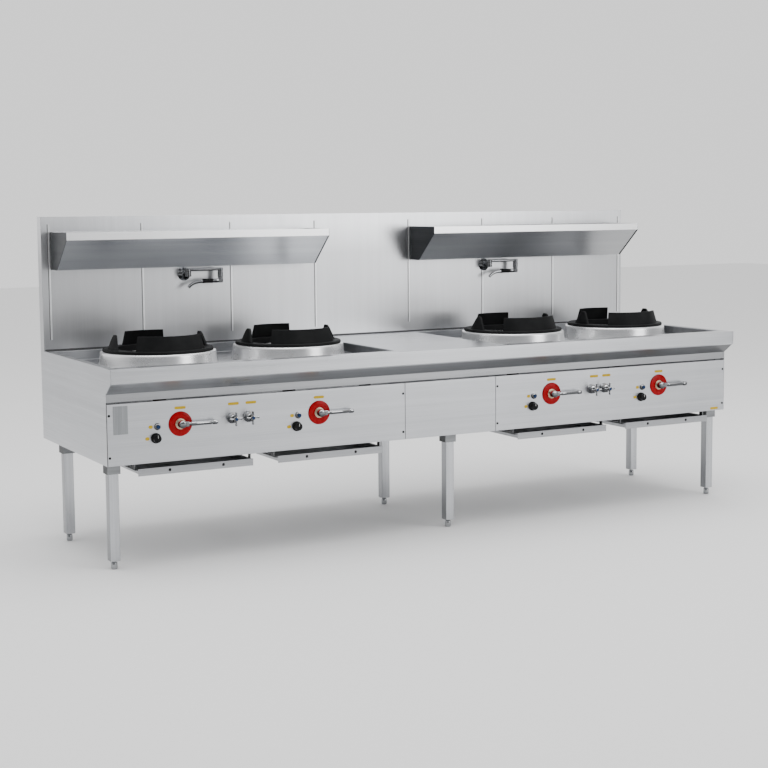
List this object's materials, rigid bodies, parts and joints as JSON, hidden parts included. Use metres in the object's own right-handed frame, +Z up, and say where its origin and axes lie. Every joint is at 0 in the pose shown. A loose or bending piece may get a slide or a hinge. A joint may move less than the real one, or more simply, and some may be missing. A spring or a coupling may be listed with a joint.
{
  "type": "wok range",
  "caption": "Free-standing stainless steel gas wok range: sunk wells with iron wok rings, lever valves, drip trays, splashback with shelves and folding faucets.",
  "frame": {"origin": "on the floor, under the middle of the range's box", "axes": "+X along the range to the cook's right, +Y from the cook to the wall, +Z up"},
  "size_m": [3, 0.9, 1.34],
  "materials": {
    "stainless": "brushed along each sheet's length",
    "polished_stainless": "spun and polished",
    "chrome": "bright plated",
    "cast_iron": "matt black, cast skin",
    "red_enamel": "gloss",
    "black_plastic": "satin moulded",
    "blue_plastic": "gloss moulded",
    "frame_steel": "mill finish, welded"
  },
  "bodies": {
    "casing": {"hob_top": "stainless", "side_panel_left": "stainless", "side_panel_right": "stainless", "rear_panel": "stainless", "control_panel_left": "stainless", "control_panel_right": "stainless", "centre_panel": "stainless", "splashback": "stainless", "shelf_left": "stainless", "shelf_right": "stainless", "base_frame": "frame_steel", "leg_front_left": "stainless", "leg_front_middle": "stainless", "leg_front_right": "stainless", "leg_rear_left": "stainless", "leg_rear_middle": "stainless", "leg_rear_right": "stainless", "gas_manifold": "frame_steel", "burner_1": "cast_iron", "burner_2": "cast_iron", "burner_3": "cast_iron", "burner_4": "cast_iron", "collar_1": "polished_stainless", "collar_2": "polished_stainless", "collar_3": "polished_stainless", "collar_4": "polished_stainless", "valve_bezel_1": "red_enamel", "valve_bezel_2": "red_enamel", "valve_bezel_3": "red_enamel", "valve_bezel_4": "red_enamel", "faucet_body_left": "chrome", "faucet_body_right": "chrome"},
    "ring_1": {"wok_ring_1": "cast_iron"},
    "ring_2": {"wok_ring_2": "cast_iron"},
    "ring_3": {"wok_ring_3": "cast_iron"},
    "ring_4": {"wok_ring_4": "cast_iron"},
    "tray_1": {"drip_tray_1": "stainless"},
    "tray_2": {"drip_tray_2": "stainless"},
    "tray_3": {"drip_tray_3": "stainless"},
    "tray_4": {"drip_tray_4": "stainless"},
    "lever_1": {"valve_lever_1": "chrome"},
    "lever_2": {"valve_lever_2": "chrome"},
    "lever_3": {"valve_lever_3": "chrome"},
    "lever_4": {"valve_lever_4": "chrome"},
    "knob_1": {"pilot_knob_1": "black_plastic"},
    "knob_2": {"pilot_knob_2": "black_plastic"},
    "knob_3": {"pilot_knob_3": "black_plastic"},
    "knob_4": {"pilot_knob_4": "black_plastic"},
    "igniter_1": {"igniter_button_1": "blue_plastic"},
    "igniter_2": {"igniter_button_2": "blue_plastic"},
    "igniter_3": {"igniter_button_3": "blue_plastic"},
    "igniter_4": {"igniter_button_4": "blue_plastic"},
    "tap_1": {"tap_handle_1": "chrome"},
    "tap_2": {"tap_handle_2": "chrome"},
    "tap_3": {"tap_handle_3": "chrome"},
    "tap_4": {"tap_handle_4": "chrome"},
    "arm_left": {"faucet_arm_left": "chrome"},
    "spout_left": {"faucet_spout_left": "chrome"},
    "arm_right": {"faucet_arm_right": "chrome"},
    "spout_right": {"faucet_spout_right": "chrome"}
  },
  "joints": [
    {"name": "ring_1_lift", "type": "slide", "parent": "casing", "child": "ring_1", "axis": [0, 0, 1], "range_m": [0, 0.15]},
    {"name": "ring_2_lift", "type": "slide", "parent": "casing", "child": "ring_2", "axis": [0, 0, 1], "range_m": [0, 0.15]},
    {"name": "ring_3_lift", "type": "slide", "parent": "casing", "child": "ring_3", "axis": [0, 0, 1], "range_m": [0, 0.15]},
    {"name": "ring_4_lift", "type": "slide", "parent": "casing", "child": "ring_4", "axis": [0, 0, 1], "range_m": [0, 0.15]},
    {"name": "tray_1_slide", "type": "slide", "parent": "casing", "child": "tray_1", "axis": [0, -1, 0], "range_m": [0, 0.4]},
    {"name": "tray_2_slide", "type": "slide", "parent": "casing", "child": "tray_2", "axis": [0, -1, 0], "range_m": [0, 0.4]},
    {"name": "tray_3_slide", "type": "slide", "parent": "casing", "child": "tray_3", "axis": [0, -1, 0], "range_m": [0, 0.4]},
    {"name": "tray_4_slide", "type": "slide", "parent": "casing", "child": "tray_4", "axis": [0, -1, 0], "range_m": [0, 0.4]},
    {"name": "lever_1_turn", "type": "hinge", "parent": "casing", "child": "lever_1", "pos_m": [-1.206, -0.412, 0.55], "axis": [0, 1, 0], "range_deg": [0, 90]},
    {"name": "lever_2_turn", "type": "hinge", "parent": "casing", "child": "lever_2", "pos_m": [-0.614, -0.412, 0.55], "axis": [0, 1, 0], "range_deg": [0, 90]},
    {"name": "lever_3_turn", "type": "hinge", "parent": "casing", "child": "lever_3", "pos_m": [0.5185, -0.412, 0.55], "axis": [0, 1, 0], "range_deg": [0, 90]},
    {"name": "lever_4_turn", "type": "hinge", "parent": "casing", "child": "lever_4", "pos_m": [1.1105, -0.412, 0.55], "axis": [0, 1, 0], "range_deg": [0, 90]},
    {"name": "knob_1_turn", "type": "hinge", "parent": "casing", "child": "knob_1", "pos_m": [-1.306, -0.4, 0.502], "axis": [0, 1, 0], "range_deg": [-180, 0]},
    {"name": "knob_2_turn", "type": "hinge", "parent": "casing", "child": "knob_2", "pos_m": [-0.714, -0.4, 0.502], "axis": [0, 1, 0], "range_deg": [-180, 0]},
    {"name": "knob_3_turn", "type": "hinge", "parent": "casing", "child": "knob_3", "pos_m": [0.4185, -0.4, 0.502], "axis": [0, 1, 0], "range_deg": [-180, 0]},
    {"name": "knob_4_turn", "type": "hinge", "parent": "casing", "child": "knob_4", "pos_m": [1.0105, -0.4, 0.502], "axis": [0, 1, 0], "range_deg": [-180, 0]},
    {"name": "igniter_1_press", "type": "slide", "parent": "casing", "child": "igniter_1", "axis": [0, 1, 0], "range_m": [0, 0.005], "stiffness_N_per_m": 600},
    {"name": "igniter_2_press", "type": "slide", "parent": "casing", "child": "igniter_2", "axis": [0, 1, 0], "range_m": [0, 0.005], "stiffness_N_per_m": 600},
    {"name": "igniter_3_press", "type": "slide", "parent": "casing", "child": "igniter_3", "axis": [0, 1, 0], "range_m": [0, 0.005], "stiffness_N_per_m": 600},
    {"name": "igniter_4_press", "type": "slide", "parent": "casing", "child": "igniter_4", "axis": [0, 1, 0], "range_m": [0, 0.005], "stiffness_N_per_m": 600},
    {"name": "tap_1_turn", "type": "hinge", "parent": "casing", "child": "tap_1", "pos_m": [-0.9925, -0.43, 0.557], "axis": [0, 1, 0], "range_deg": [-90, 0]},
    {"name": "tap_2_turn", "type": "hinge", "parent": "casing", "child": "tap_2", "pos_m": [-0.9215, -0.43, 0.557], "axis": [0, 1, 0], "range_deg": [-90, 0]},
    {"name": "tap_3_turn", "type": "hinge", "parent": "casing", "child": "tap_3", "pos_m": [0.732, -0.43, 0.557], "axis": [0, 1, 0], "range_deg": [-90, 0]},
    {"name": "tap_4_turn", "type": "hinge", "parent": "casing", "child": "tap_4", "pos_m": [0.803, -0.43, 0.557], "axis": [0, 1, 0], "range_deg": [-90, 0]},
    {"name": "arm_left_swing", "type": "hinge", "parent": "casing", "child": "arm_left", "pos_m": [-0.872, 0.35, 1.1], "axis": [0, 0, 1], "range_deg": [-180, 0]},
    {"name": "spout_left_swing", "type": "hinge", "parent": "arm_left", "child": "spout_left", "pos_m": [-0.722, 0.35, 1.07], "axis": [0, 0, 1], "range_deg": [0, 180]},
    {"name": "arm_right_swing", "type": "hinge", "parent": "casing", "child": "arm_right", "pos_m": [0.672, 0.35, 1.1], "axis": [0, 0, 1], "range_deg": [-180, 0]},
    {"name": "spout_right_swing", "type": "hinge", "parent": "arm_right", "child": "spout_right", "pos_m": [0.822, 0.35, 1.07], "axis": [0, 0, 1], "range_deg": [0, 180]}
  ]
}
